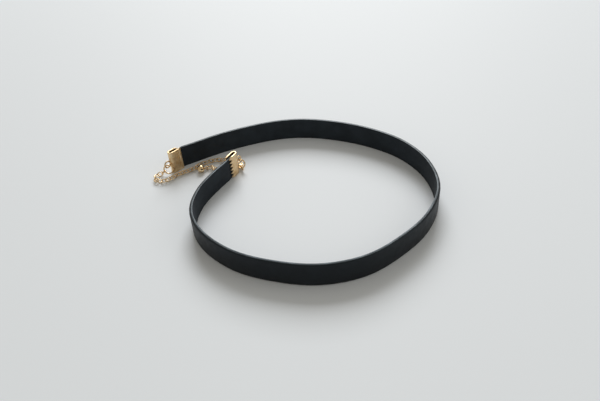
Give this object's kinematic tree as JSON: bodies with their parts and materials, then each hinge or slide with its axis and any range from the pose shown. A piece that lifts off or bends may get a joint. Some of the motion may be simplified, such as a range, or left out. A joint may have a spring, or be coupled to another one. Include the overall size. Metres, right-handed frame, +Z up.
{
  "type": "choker necklace",
  "caption": "Choker necklace: a flat leather strap standing on edge in a loop, with metal ribbon clamps, jump rings, a clasp and an extender chain that ends in a ball drop.",
  "frame": {"origin": "on the surface that the strap's lower edge stands on, under the middle of the whole necklace's box", "axes": "+Z up, along the strap's width; +Y away from the viewer, towards the ends of the strap's far side; +X to the viewer's right, with the clasp and chain at the left"},
  "size_m": [0.1184, 0.0944, 0.0106],
  "materials": {
    "strap_leather": "smooth satin black",
    "gold_tone_metal": "polished light gold plate"
  },
  "bodies": {
    "root": {"chain_link_01": "gold_tone_metal", "chain_link_02": "gold_tone_metal", "chain_link_03": "gold_tone_metal", "chain_link_04": "gold_tone_metal", "chain_link_05": "gold_tone_metal", "chain_link_06": "gold_tone_metal", "chain_link_07": "gold_tone_metal", "chain_link_08": "gold_tone_metal", "chain_link_09": "gold_tone_metal", "chain_link_10": "gold_tone_metal", "chain_link_11": "gold_tone_metal", "chain_link_12": "gold_tone_metal", "chain_link_13": "gold_tone_metal", "chain_link_14": "gold_tone_metal", "chain_link_15": "gold_tone_metal", "chain_link_16": "gold_tone_metal", "chain_link_17": "gold_tone_metal", "chain_link_18": "gold_tone_metal", "chain_link_19": "gold_tone_metal", "chain_link_20": "gold_tone_metal", "chain_link_21": "gold_tone_metal", "chain_link_22": "gold_tone_metal", "chain_link_23": "gold_tone_metal", "chain_link_24": "gold_tone_metal", "chain_link_25": "gold_tone_metal", "chain_link_26": "gold_tone_metal", "chain_link_27": "gold_tone_metal", "chain_link_28": "gold_tone_metal", "chain_link_29": "gold_tone_metal", "chain_link_30": "gold_tone_metal", "chain_link_31": "gold_tone_metal", "chain_link_32": "gold_tone_metal", "chain_link_33": "gold_tone_metal", "chain_link_34": "gold_tone_metal", "chain_link_35": "gold_tone_metal", "chain_side_clamp": "gold_tone_metal", "chain_side_jump_ring": "gold_tone_metal", "clasp": "gold_tone_metal", "clasp_side_clamp": "gold_tone_metal", "clasp_side_jump_ring": "gold_tone_metal", "end_drop": "gold_tone_metal", "strap": "strap_leather"}
  },
  "joints": []
}
